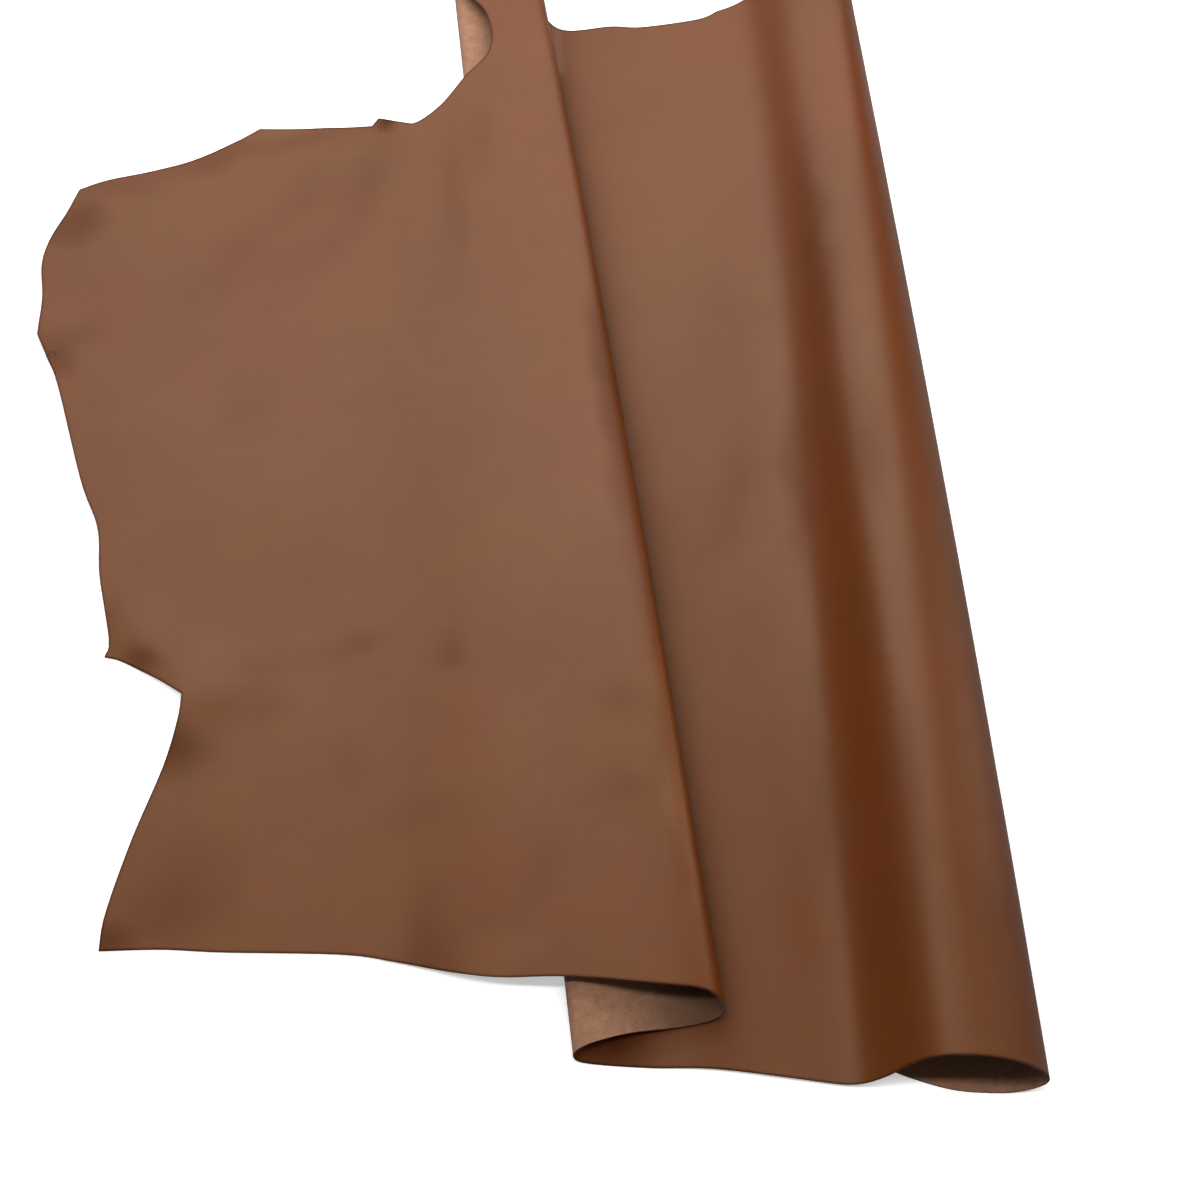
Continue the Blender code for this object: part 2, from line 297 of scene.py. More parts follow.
# Painted shadow on the grain along the crease beneath the right fold, which shades the layer under it.
# By FOLD_END the hide has turned round that fold, and past CREASE_START it runs on beneath it. The painted
# shadow fades outwards over CREASE_REACH, inwards over CREASE_DEPTH down to its LEAST_INSIDE share, and
# towards the front down to its LEAST_FRONT share.
FOLD_END = 0.75
CREASE_START = 0.86
CREASE_SHADOW = 0.60
CREASE_REACH = 0.024
CREASE_DEPTH = 0.08
CREASE_END = -0.68
CREASE_FADE = 0.12
LEAST_INSIDE = 0.3
LEAST_FRONT = 0.35

# The places of the flesh side and the cut edge among the sheet's materials; the grain comes first.
FLESH_INDEX = 1
EDGE_INDEX = 2

# How far off the cut edge its outward way is felt for, how wide a belt of the flesh side has a nap and which
# way that is combed, how far the fibres lean off their way, and the form of one fibre.
EDGE_PROBE = 0.001
NAP_BELT = 0.06
NAP_LAY = (0.0, 0.8, 0.0)
EDGE_LEAN = 0.8
NAP_LEAN = 0.9
FIBRE_SIDES = 3
SHORTEST_FIBRE = 0.35
FIBRE_MATERIAL = "leather_fibres"
FIBRE_SIZES = ("Length", "Radius")

# The matt finishes, as roughness and gloss. Then the size of their fibres, and their relief as depth and
# strength, how far the fibres wander, and the sheen of the flesh side.
FLESH_FINISH = (0.95, 0.15)
EDGE_FINISH = (0.9, 0.2)
FLOOR_FINISH = (0.9, 0.0)
FLESH_FIBRE = 0.0016
EDGE_FIBRE = 0.0009
FLESH_RELIEF = (0.0006, 0.8)
EDGE_RELIEF = (0.0004, 0.8)
FIBRE_BEND = (0.004, 0.004, 0.004)
SHEEN = 0.12
SHEEN_ROUGHNESS = 0.6

# How the dye leans cool and warm, where the pattern of its warmth is taken from, how far paler places are
# smoother and a pore is darker, and what is left of the cut edge's colour in its pits.
COOL_DYE = (0.98, 1.02, 0.9)
WARM_DYE = (1.03, 0.97, 1.3)
WARMTH_SHIFT = (3.7, 1.9, 5.3)
DRIFT_POLISH = 0.5
PORE_SHADE = 0.10
PIT_SHADE = 0.5

# The broad and fine patches of the drifting tone, and its contrast. Then how the two are mixed, how strongly
# they tell, and the part of the noise over which the dye turns from cool to warm.
GRAIN_PATCHES = (0.17, 0.022)
FLESH_PATCHES = (0.05, 0.006)
FIBRE_PATCHES = (0.02, 0.002)
FLESH_CONTRAST = 0.12
FIBRE_CONTRAST = 0.6
BROAD_SHARE = 0.65
FINE_SHARE = 0.35
DRIFT_GAIN = 4.0
WARM_RANGE = (0.35, 0.65)

# How wide the creases between the grain's cells are, the size and height of its wrinkles, how crowded the
# pores are among the cells, and where a pore's rim begins and ends. Then, in fibres, the size of the bends
# and of the clumps, how high the clumps stand, and where the gaps between fibres begin and are darkest. Last,
# in a healed mark's radius, its outer rim and the paler middle, and what is left of the mark there.
CELL_BORDER = 0.22
WRINKLE_SIZE = 4.0
WRINKLE_HEIGHT = 0.8
PORE_CROWDING = 0.45
PORE_RIM = (0.06, 0.14)
BEND_SIZE = 2.5
CLUMP_SIZE = 5.0
CLUMP_HEIGHT = 0.6
GAP_RANGE = (0.62, 0.34)
MARK_RIM = (0.8, 1.0)
MARK_MIDDLE = (0.4, 0.7)
LEAST_MARK = 0.15


# --------------------------------------
# Settings
# --------------------------------------


def length_setting(name, description, default, least=0.0):
    """A length in metres that the user may change."""
    return bpy.props.FloatProperty(
        name=name, description=description, default=default, min=least, unit="LENGTH"
    )


def power_setting(name, description, default):
    """The power of a light that the user may change."""
    return bpy.props.FloatProperty(
        name=name, description=description, default=default, min=0.0, unit="POWER"
    )


def share_setting(name, description, default):
    """A share from 0 to 1 that the user may change."""
    return bpy.props.FloatProperty(
        name=name, description=description, default=default, min=0.0, max=1.0, subtype="FACTOR"
    )


def colour_setting(name, description, default):
    """A colour that the user may change."""
    return bpy.props.FloatVectorProperty(
        name=name, description=description, default=default, min=0.0, max=1.0, size=3, subtype="COLOR"
    )


class HideSheetSettings(bpy.types.PropertyGroup):
    """The folded sheet and how finely it is cut up."""

    thickness: bpy.props.FloatProperty(
        name="Thickness",
        description="Thickness of the leather",
        default=THICKNESS,
        min=0.001,
        max=0.003,
        unit="LENGTH",
    )
    strip_width: length_setting("Strip width", "Widest strip of the mesh across the folds", 0.0075, 0.003)
    fold_strips: bpy.props.IntProperty(
        name="Strips in a fold",
        description="Fewest strips in each span of the cross-section",
        default=4,
        min=2,
    )
    row_pitch: length_setting("Row pitch", "Pitch of the mesh along the folds", 0.010, 0.003)
    outline_step: length_setting("Outline step", "Spacing of the points along the cut edge", 0.005, 0.001)
    # The rim is painted shade: the grain is darkened in a thin belt along the cut edge, in place of an edge
    # that rolls down.
    rim_width: length_setting(
        "Rim width", "Width of the darker rim that the knife leaves on the grain", 0.0026, 0.0005
    )
    painted_rim_shade: share_setting("Rim tone", "How much darker the grain is at the very edge", 0.75)


class GrainSettings(bpy.types.PropertyGroup):
    """The dyed and finished grain side."""

    colour: colour_setting("Dye", "Colour of the dyed grain", (0.1220, 0.0280, 0.0030))
    roughness: share_setting("Roughness", "Roughness of the satin finish", 0.38)
    gloss_tint: colour_setting("Gloss tint", "Tint of the finish's gloss", (1.0, 0.89, 0.66))
    cell_size: length_setting("Grain size", "Width of one cell of the grain", 0.0011, 0.0002)
    relief: length_setting("Grain relief", "Depth of the creases between the grain's cells", 0.00003)
    drift: share_setting("Tone drift", "How far the dye varies over the hide", 0.10)


class FleshSettings(bpy.types.PropertyGroup):
    """The fibrous flesh side, its nap and the raw cut edge."""

    colour: colour_setting("Flesh colour", "Colour of the flesh side", (0.350, 0.180, 0.104))
    shadow_colour: colour_setting(
        "Flesh pits", "Colour between the fibres of the flesh side", (0.255, 0.125, 0.070)
    )
    edge_colour: colour_setting("Cut edge", "Colour of the raw cut edge", (0.120, 0.056, 0.031))
    fibre_colour: colour_setting(
        "Loose fibres",
        "Colour of the loose fibres along the cut edge and on the flesh side",
        (0.180, 0.085, 0.045),
    )
    fibre_length: length_setting("Edge fibre length", "Longest fibre standing out of the cut edge", 0.0020)
    fibre_radius: length_setting("Fibre radius", "Radius of a loose fibre at its root", 0.00012, 0.00001)
    fibre_spacing: length_setting(
        "Edge fibre spacing", "Spacing of the fibres along the cut edge", 0.0007, 0.0002
    )
    nap_length: length_setting("Nap length", "Longest fibre of the flesh side's nap", 0.0012)
    nap_density: bpy.props.FloatProperty(
        name="Nap density",
        description="Fibres in a square metre of flesh side",
        default=120000.0,
        min=0.0,
    )
    seed: bpy.props.IntProperty(
        name="Seed", description="Seed of the fibres' places and leans", default=7
    )


class StudioSettings(bpy.types.PropertyGroup):
    """The plain stage."""

    floor_colour: colour_setting("Floor", "Colour of the pale floor", (0.98, 0.98, 0.98))
    floor_bounce: share_setting(
        "Floor bounce", "Share of its light that the floor throws back onto the hide", 0.32
    )
    floor_glow: bpy.props.FloatProperty(
        name="Floor glow",
        description="Glow that keeps the floor pale within the hide's soft shadow",
        default=0.45,
        min=0.0,
    )
    overhead_power: power_setting(
        "Overhead light", "Power of the wide light high above the back edge", 71.0
    )
    middle_power: power_setting(
        "Middle light", "Power of the wide light high above the middle of the hide", 6.5
    )
    far_power: power_setting(
        "Far light", "Power of the low light over the belly edge, which the grain mirrors", 12.8
    )
    upper_power: power_setting("Upper light", "Power of the weak light above the far one", 7.6)
    side_power: power_setting("Side light", "Power of the weak low light beyond the roll", 5.0)
    room_light: bpy.props.FloatProperty(
        name="Room light", description="Strength of the even light from the room", default=0.155, min=0.0
    )


# --------------------------------------
# The folded sheet
# --------------------------------------


def cubic_b_spline(controls, samples):
    """Points along the uniform cubic B-spline of these control points, `samples` of them in each span."""
    step = np.linspace(0.0, 1.0, samples, endpoint=False)[:, None]
    weights = (
        (1 - step) ** 3, 3 * step**3 - 6 * step**2 + 4, -3 * step**3 + 3 * step**2 + 3 * step + 1, step**3
    )
    spans = [
        sum(weight * controls[first + k] for k, weight in enumerate(weights)) / 6
        for first in range(len(controls) - 3)
    ]
    last = (controls[-3] + 4 * controls[-2] + controls[-1]) / 6
    return np.vstack(spans + [last[None, :]])


def section_at(y):
    """The folded cross-section at y: its points as (x, z), and the length along the sheet at each."""
    share = (y - FRONT_Y) / (REAR_Y - FRONT_Y)
    front, middle, rear, low, high = SECTION.T
    x = (
        front * (1 - share) * (1 - 2 * share)
        + middle * 4 * share * (1 - share)
        + rear * share * (2 * share - 1)
    )
    z = low * (1 - share) + high * share
    points = cubic_b_spline(np.stack([x, z], 1), SAMPLES_A_SPAN)
    steps = np.hypot(*np.diff(points, axis=0).T)
    return points, np.concatenate([[0.0], np.cumsum(steps)])


def bump_at(along, y, bumps):
    """The height of these soft round bumps at a point of the flat hide."""
    height = 0.0
    for at_along, at_y, rise, reach_along, reach_y in bumps:
        far = ((along - at_along) / reach_along) ** 2 + ((y - at_y) / reach_y) ** 2
        height += rise * max(0.0, 1.0 - far) ** 3
    return height


def ridge_at(along, y, ridges):
    """The height of these long soft ridges at a point of the flat hide, each fading to its two ends."""
    height = 0.0
    for from_along, from_y, to_along, to_y, half_width, rise in ridges:
        half_run = Vector((to_along - from_along, to_y - from_y)) / 2
        off = Vector((along - from_along, y - from_y)) - half_run
        share = off.dot(half_run) / half_run.length_squared
        aside = (off - share * half_run).length / half_width
        height += rise * max(0.0, 1.0 - share * share - aside * aside) ** 2
    return height


def shade_and_tone_at(along, y):
    """How much painted shade and tone the grain has at a point of the flat hide, with uneven borders."""
    place = Vector((along, y, 0.0)) / WOBBLE_SIZE
    along += WOBBLE * noise.noise(place)
    y += WOBBLE * noise.noise(place + WOBBLE_SHIFT)
    return bump_at(along, y, SHADE_AND_TONE_PATCHES) + ridge_at(along, y, SHADE_AND_TONE_STREAKS)


def folded(along, y, section):
    """Where a point of the flat hide lies once it is folded."""
    points, lengths = section
    x = np.interp(along, lengths, points[:, 0])
    z = np.interp(along, lengths, points[:, 1])
    return Vector((x, y, z + bump_at(along, y, LIFTS) + ridge_at(along, y, RIDGES)))


def smooth_stretch(points, step):
    """Points of a Catmull-Rom curve through these, about `step` apart, without the last one."""
    padded = [2 * points[0] - points[1], *points, 2 * points[-1] - points[-2]]
    found = []
    for before, start, end, after in zip(padded, padded[1:], padded[2:], padded[3:]):
        count = max(1, round(np.linalg.norm(end - start) / step))
        for t in np.arange(count) / count:
            found.append(
                0.5
                * (
                    2 * start
                    + (end - before) * t
                    + (2 * before - 5 * start + 4 * end - after) * t**2
                    + (3 * start - before - 3 * end + after) * t**3
                )
            )
    return found


def outline_points(step):
    """The cut outline of the flat hide, smooth from each corner to the next."""
    found = []
    for stretch, following in zip(OUTLINE, OUTLINE[1:] + OUTLINE[:1]):
        found += smooth_stretch([np.array(place) for place in (*stretch, following[0])], step)
    return found


def strip_lines(fewest, widest):
    """The slices along the folds, each as its place at the front and at the rear."""
    front = section_at(FRONT_Y)[1]
    rear = section_at(REAR_Y)[1]
    samples = np.arange(len(front))
    lines = []
    for start in range(0, len(front) - 1, SAMPLES_A_SPAN):
        width = front[start + SAMPLES_A_SPAN] - front[start]
        strips = max(fewest, int(np.ceil(width / widest)))
        for at in start + np.arange(strips) * SAMPLES_A_SPAN / strips:
            lines.append((np.interp(at, samples, front), np.interp(at, samples, rear)))
    return lines


def slice_flat(sheet, point, normal):
    """Cuts the flat hide along one line."""
    geometry = sheet.verts[:] + sheet.edges[:] + sheet.faces[:]
    bmesh.ops.bisect_plane(sheet, geom=geometry, dist=SLICE_REACH, plane_co=point, plane_no=normal)


def flat_hide(settings):
    """The cut hide laid out flat, grain up, as (along, y, 0), and sliced where it will bend."""
    sheet = bmesh.new()
    outline = reversed(outline_points(settings.outline_step))
    sheet.faces.new([sheet.verts.new((along, y, 0.0)) for along, y in outline])
    sheet.normal_update()
    bmesh.ops.inset_individual(
        sheet, faces=sheet.faces[:], thickness=settings.rim_width, use_even_offset=True
    )
    sheet.verts.layers.float.new(FLESH_SHADE)
    tone = sheet.verts.layers.float.new(GRAIN_SHADE_AND_TONE)
    # The cut edge's points carry the painted shade of the rim.
    for vertex in sheet.verts:
        vertex[tone] = settings.painted_rim_shade if vertex.is_boundary else 0.0
    for front, rear in strip_lines(settings.fold_strips, settings.strip_width):
        lean = Vector((rear - front, REAR_Y - FRONT_Y, 0.0))
        slice_flat(sheet, Vector((front, FRONT_Y, 0.0)), lean.cross(Vector((0, 0, 1))))
    for row in range(int((REAR_Y - FRONT_Y) / settings.row_pitch) + 1):
        slice_flat(sheet, Vector((0.0, FRONT_Y + row * settings.row_pitch, 0.0)), Vector((0, 1, 0)))
    return sheet


def keep_flat_pattern(sheet):
    """Writes each corner's place on the flat hide, in metres, as the sheet's UV map."""
    layer = sheet.loops.layers.uv.new(FLAT_UV)
    for face in sheet.faces:
        for loop in face.loops:
            loop[layer].uv = loop.vert.co.xy


def crease_shadow(along, y, x, section):
    """How much painted shadow the grain has beneath the right fold and just beyond it."""
    if along < CREASE_START:
        return 0.0
    points, lengths = section
    beyond = x - points[lengths < FOLD_END, 0].max()
    depth = CREASE_SHADOW * min(1.0, max(LEAST_FRONT, (y - CREASE_END) / CREASE_FADE))
    if beyond > 0.0:
        return depth * math.exp(-beyond / CREASE_REACH)
    return depth * max(LEAST_INSIDE, 1.0 + beyond / CREASE_DEPTH)


def fold_sheet(sheet):
    """Carries every point of the flat hide to its place in the folds, and gives it its painted shade and
    tone.
    """
    grain_tone = sheet.verts.layers.float[GRAIN_SHADE_AND_TONE]
    flesh_tone = sheet.verts.layers.float[FLESH_SHADE]
    sections = {}
    for vertex in sheet.verts:
        along, y, _ = vertex.co
        row = round(y, 4)
        if row not in sections:
            sections[row] = section_at(y)
        vertex.co = folded(along, y, sections[row])
        tone = vertex[grain_tone] + shade_and_tone_at(along, y)
        tone += crease_shadow(along, y, vertex.co.x, sections[row])
        vertex[grain_tone] = min(1.0, tone)
        vertex[flesh_tone] = min(1.0, bump_at(along, y, FLESH_SHADE_PATCHES))


def as_mesh(built, name):
    """Turns what was built into a mesh of this name."""
    mesh = bpy.data.meshes.new(name)
    built.to_mesh(mesh)
    built.free()
    return mesh


def bare_object(name, data):
    """A new object for this mesh, light or camera, linked to the scene."""
    made = bpy.data.objects.new(name, data)
    bpy.context.scene.collection.objects.link(made)
    return made


def settle(piece):
    """Turns what the piece's modifiers make into its plain mesh."""
    graph = bpy.context.evaluated_depsgraph_get()
    finished = bpy.data.meshes.new_from_object(piece.evaluated_get(graph))
    piece.modifiers.clear()
    piece.data = finished
    finished.name = piece.name
    return piece


# --------------------------------------
# Loose fibres, in Geometry Nodes
# --------------------------------------


def new_fibre_tree(name, spread):
    """An empty geometry tree whose inputs are a carrier, the fibres' spread, their sizes and a seed."""
    tree = bpy.data.node_groups.new(name, "GeometryNodeTree")
    tree.is_modifier = True
    tree.interface.new_socket("Geometry", in_out="INPUT", socket_type="NodeSocketGeometry")
    for socket in (spread, *FIBRE_SIZES):
        tree.interface.new_socket(socket, in_out="INPUT", socket_type="NodeSocketFloat")
    tree.interface.new_socket("Seed", in_out="INPUT", socket_type="NodeSocketInt")
    tree.interface.new_socket("Geometry", in_out="OUTPUT", socket_type="NodeSocketGeometry")
    return tree, tree.nodes.new("NodeGroupInput"), tree.nodes.new("NodeGroupOutput")


def random_vector(tree, reach, seed):
    """A random vector whose three parts lie within `reach` of zero."""
    inputs = {"Min": (-reach, -reach, -reach), "Max": (reach, reach, reach), "Seed": seed}
    return add_node(tree, "FunctionNodeRandomValue", {"data_type": "FLOAT_VECTOR"}, inputs).outputs[0]


def add_vectors(tree, first, second):
    """The sum of two vectors."""
    return add_node(tree, "ShaderNodeVectorMath", {"operation": "ADD"}, {0: first, 1: second}).outputs[0]


def plant_fibres(tree, given, made, points, way, lean):
    """Stands a thin three-sided fibre on every point, leaning off `way`, and realizes them all."""
    length = given.outputs["Length"]
    seed = given.outputs["Seed"]
    fibre = add_node(
        tree,
        "GeometryNodeMeshCone",
        None,
        {
            "Vertices": FIBRE_SIDES,
            "Radius Top": 0.0,
            "Radius Bottom": given.outputs["Radius"],
            "Depth": length,
        },
    ).outputs["Mesh"]
    leaning = add_vectors(tree, way, random_vector(tree, lean, seed))
    turn = add_node(
        tree, "FunctionNodeAlignRotationToVector", {"axis": "Z"}, {"Vector": leaning}
    ).outputs["Rotation"]
    size = add_node(
        tree, "FunctionNodeRandomValue", {"data_type": "FLOAT"}, {2: SHORTEST_FIBRE, 3: 1.0, "Seed": seed}
    ).outputs[1]
    planted = add_node(
        tree,
        "GeometryNodeInstanceOnPoints",
        None,
        {"Points": points, "Instance": fibre, "Rotation": turn, "Scale": size},
    ).outputs["Instances"]
    solid = add_node(tree, "GeometryNodeRealizeInstances", None, {"Geometry": planted})
    dressed = add_node(
        tree,
        "GeometryNodeSetMaterial",
        None,
        {"Geometry": solid.outputs["Geometry"], "Material": bpy.data.materials[FIBRE_MATERIAL]},
    )
    join(tree, dressed.outputs["Geometry"], made.inputs["Geometry"])


def edge_fibre_tree():
    """Fibres at an even spacing along a line, standing out of the leather's cut edge."""
    tree, given, made = new_fibre_tree("edge_fibres", "Spacing")
    line = add_node(tree, "GeometryNodeMeshToCurve", None, {"Mesh": given.outputs["Geometry"]})
    along = add_node(
        tree,
        "GeometryNodeResampleCurve",
        {"mode": "LENGTH"},
        {"Curve": line.outputs["Curve"], "Length": given.outputs["Spacing"]},
    )
    out = add_node(
        tree, "GeometryNodeInputNamedAttribute", {"data_type": "FLOAT_VECTOR"}, {"Name": OUTWARD}
    ).outputs["Attribute"]
    plant_fibres(tree, given, made, along.outputs["Curve"], out, EDGE_LEAN)
    return tree


def flesh_nap_tree():
    """Short fibres strewn over a face and combed towards +Y."""
    tree, given, made = new_fibre_tree("flesh_nap", "Density")
    strewn = add_node(
        tree,
        "GeometryNodeDistributePointsOnFaces",
        {"distribute_method": "RANDOM"},
        {
            "Mesh": given.outputs["Geometry"],
            "Density": given.outputs["Density"],
            "Seed": given.outputs["Seed"],
        },
    )
    combed = add_vectors(tree, strewn.outputs["Normal"], NAP_LAY)
    plant_fibres(tree, given, made, strewn.outputs["Points"], combed, NAP_LEAN)
    return tree


def grow(piece, tree, values):
    """Grows fibres on a carrier with this tree, and leaves them as the piece's plain mesh."""
    fibres = piece.modifiers.new("fibres", "NODES")
    fibres.node_group = tree
    for socket in tree.interface.items_tree:
        if socket.in_out == "INPUT" and socket.name in values:
            fibres[socket.identifier] = values[socket.name]
    return settle(piece)


def raise_fibres(name, carrier, tree, settings, values):
    """Makes the piece of this name by growing fibres on a carrier, and fixes it to the hide."""
    values = {**values, "Radius": settings.fibre_radius, "Seed": settings.seed}
    piece = grow(bare_object(name, carrier), tree, values)
    attach(piece)
    return piece


def cut_edge_line(step):
    """A closed line along the folded cut edge, which knows at each point the way out of the leather."""
    outline = outline_points(step)
    places = []
    outward = []
    for at, point in enumerate(outline):
        way = outline[(at + 1) % len(outline)] - outline[at - 1]
        way = way / np.linalg.norm(way)
        probe = point + EDGE_PROBE * np.array((-way[1], way[0]))
        place = folded(*point, section_at(point[1]))
        places.append(place)
        outward.append((folded(*probe, section_at(probe[1])) - place).normalized())
    edges = [(at, (at + 1) % len(places)) for at in range(len(places))]
    line = bpy.data.meshes.new("cut_edge_line")
    line.from_pydata(places, edges, [])
    ways = line.attributes.new(OUTWARD, "FLOAT_VECTOR", "POINT")
    ways.data.foreach_set("vector", np.ravel(outward))
    return line


def flesh_belt(sheet, step):
    """The open flesh-side faces of the finished sheet that lie near its cut edge."""
    outline = outline_points(step)
    edge = kdtree.KDTree(len(outline))
    for at, (along, y) in enumerate(outline):
        edge.insert((along, y, 0.0), at)
    edge.balance()
    belt = bmesh.new()
    belt.from_mesh(sheet.data)
    flat = belt.loops.layers.uv[FLAT_UV]
    hidden = []
    for face in belt.faces:
        place = sum((loop[flat].uv for loop in face.loops), Vector((0.0, 0.0))) / len(face.loops)
        near = edge.find((*place, 0.0))[2] < NAP_BELT
        if face.material_index != FLESH_INDEX or face.normal.z < 0.0 or not near:
            hidden.append(face)
    bmesh.ops.delete(belt, geom=hidden, context="FACES")
    return as_mesh(belt, "flesh_belt")


def attach(piece):
    """Fixes a piece to the hide's body."""
    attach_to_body(piece, BODY)


# --------------------------------------
# Shader helpers
# --------------------------------------


def add_node(tree, kind, settings=None, inputs=None):
    """Adds a node, sets its properties, and fills its inputs with values or with other nodes' sockets."""
    made = tree.nodes.new(kind)
    for name, value in (settings or {}).items():
        setattr(made, name, value)
    for name, value in (inputs or {}).items():
        if isinstance(value, bpy.types.NodeSocket):
            tree.links.new(value, made.inputs[name])
        else:
            made.inputs[name].default_value = value
    return made


def calculate(tree, operation, first, second=0.0, third=0.0):
    """The result of one Math node."""
    inputs = {0: first, 1: second, 2: third}
    return add_node(tree, "ShaderNodeMath", {"operation": operation}, inputs).outputs[0]


def mix_colours(tree, share, first, second, blend="MIX"):
    """The result of mixing two colours."""
    made = add_node(
        tree, "ShaderNodeMix", {"data_type": "RGBA", "blend_type": blend}, {0: share, 6: first, 7: second}
    )
    return made.outputs[2]


def ramp_between(tree, value, low, high, start=0.0, end=1.0):
    """`value` carried from low..high to start..end, and held there."""
    inputs = {"Value": value, "From Min": low, "From Max": high, "To Min": start, "To Max": end}
    return add_node(tree, "ShaderNodeMapRange", None, inputs).outputs["Result"]


def noise_at(tree, vector, size, detail, outlet="Fac"):
    """Soft noise whose lumps are about `size` across."""
    inputs = {"Vector": vector, "Scale": calculate(tree, "DIVIDE", 1.0, size), "Detail": detail}
    return add_node(tree, "ShaderNodeTexNoise", None, inputs).outputs[outlet]


def cells_at(tree, feature, vector, scale):
    """The distance to the nearest border, or with F1 to the nearest middle, in a pattern of cells."""
    inputs = {"Vector": vector, "Scale": scale}
    return add_node(tree, "ShaderNodeTexVoronoi", {"feature": feature}, inputs).outputs["Distance"]


def new_group(name, inputs, outputs):
    """An empty shader group with a Vector input, these inputs by default value, and these number outputs."""
    group = bpy.data.node_groups.new(name, "ShaderNodeTree")
    group.interface.new_socket("Vector", in_out="INPUT", socket_type="NodeSocketVector")
    for socket, default in inputs.items():
        kind = "NodeSocketFloat" if isinstance(default, float) else "NodeSocketVector"
        group.interface.new_socket(socket, in_out="INPUT", socket_type=kind).default_value = default
    for socket in outputs:
        group.interface.new_socket(socket, in_out="OUTPUT", socket_type="NodeSocketFloat")
    return group, group.nodes.new("NodeGroupInput"), group.nodes.new("NodeGroupOutput")


def place_group(tree, group, inputs):
    """Places a shader group in a material with these input values."""
    return add_node(tree, "ShaderNodeGroup", {"node_tree": group}, inputs)


def new_material(name):
    """A material, its node tree and its Principled shader."""
    material = bpy.data.materials.new(name)
    material.use_nodes = True
    tree = material.node_tree
    return material, tree, tree.nodes["Principled BSDF"]


def join(tree, outlet, inlet):
    """Links two sockets."""
    tree.links.new(outlet, inlet)


def shaded(tree, colour, shade):
    """This colour, darkened or lightened by a shade about 1."""
    grey = add_node(tree, "ShaderNodeCombineColor", None, dict.fromkeys(("Red", "Green", "Blue"), shade))
    return mix_colours(tree, 1.0, colour, grey.outputs["Color"], "MULTIPLY")


def scaled(colour, shares):
    """A solid colour whose channels are scaled by these shares."""
    return (*(channel * share for channel, share in zip(colour, shares)), 1.0)


def raise_relief(tree, shader, height, distance, strength):
    """Raises a fine relief on the surface."""
    inputs = {"Height": height, "Distance": distance, "Strength": strength}
    bump = add_node(tree, "ShaderNodeBump", None, inputs)
    join(tree, bump.outputs["Normal"], shader.inputs["Normal"])


def set_finish(shader, finish):
    """Gives the shader one of the matt finishes."""
    for name, value in zip(("Roughness", "Specular IOR Level"), finish):
        shader.inputs[name].default_value = value


# --------------------------------------
# Shader groups
# --------------------------------------


def tone_drift_group():
    """Slow changes of tone over the hide: a shade about 1, and a mask that leans warm or cool."""
    group, given, made = new_group(
        "tone_drift", {"Broad Size": 0.16, "Fine Size": 0.025, "Contrast": 0.1}, ("Shade", "Warmth")
    )
    vector = given.outputs["Vector"]
    broad = noise_at(group, vector, given.outputs["Broad Size"], 2.0)
    fine = noise_at(group, vector, given.outputs["Fine Size"], 4.0)
    both = calculate(group, "MULTIPLY", broad, BROAD_SHARE)
    both = calculate(group, "MULTIPLY_ADD", fine, FINE_SHARE, both)
    centred = calculate(group, "SUBTRACT", both, 0.5)
    spread = calculate(group, "MULTIPLY", centred, given.outputs["Contrast"])
    join(group, calculate(group, "MULTIPLY_ADD", spread, DRIFT_GAIN, 1.0), made.inputs["Shade"])
    moved = add_vectors(group, vector, WARMTH_SHIFT)
    warm = noise_at(group, moved, given.outputs["Broad Size"], 3.0)
    join(group, ramp_between(group, warm, *WARM_RANGE), made.inputs["Warmth"])
    return group


def skin_grain_group():
    """The skin's own grain: small rounded cells with creases between them, and scattered pores."""
    group, given, made = new_group("skin_grain", {"Cell Size": 0.001}, ("Height", "Pores"))
    vector = given.outputs["Vector"]
    size = given.outputs["Cell Size"]
    scale = calculate(group, "DIVIDE", 1.0, size)
    cells = cells_at(group, "DISTANCE_TO_EDGE", vector, scale)
    domes = ramp_between(group, cells, 0.0, CELL_BORDER)
    wrinkles = noise_at(group, vector, calculate(group, "MULTIPLY", size, WRINKLE_SIZE), 3.0)
    join(group, calculate(group, "MULTIPLY_ADD", wrinkles, WRINKLE_HEIGHT, domes), made.inputs["Height"])
    pores = cells_at(group, "F1", vector, calculate(group, "MULTIPLY", scale, PORE_CROWDING))
    join(group, ramp_between(group, pores, *PORE_RIM, 1.0, 0.0), made.inputs["Pores"])
    return group


def fibre_mat_group():
    """Loose matted fibres: short dark gaps between them and a rough height."""
    group, given, made = new_group("fibre_mat", {"Fibre Size": 0.0015}, ("Height", "Gaps"))
    size = given.outputs["Fibre Size"]
    bend_size = calculate(group, "MULTIPLY", size, BEND_SIZE)
    bent = noise_at(group, given.outputs["Vector"], bend_size, 2.0, "Color")
    moved = add_node(
        group,
        "ShaderNodeVectorMath",
        {"operation": "MULTIPLY_ADD"},
        {0: bent, 1: FIBRE_BEND, 2: given.outputs["Vector"]},
    ).outputs[0]
    strands = noise_at(group, moved, size, 5.0)
    clumps = noise_at(group, moved, calculate(group, "MULTIPLY", size, CLUMP_SIZE), 3.0)
    join(group, calculate(group, "MULTIPLY_ADD", clumps, CLUMP_HEIGHT, strands), made.inputs["Height"])
    both = calculate(group, "MULTIPLY_ADD", clumps, 0.5, calculate(group, "MULTIPLY", strands, 0.5))
    join(group, ramp_between(group, both, *GAP_RANGE), made.inputs["Gaps"])
    return group


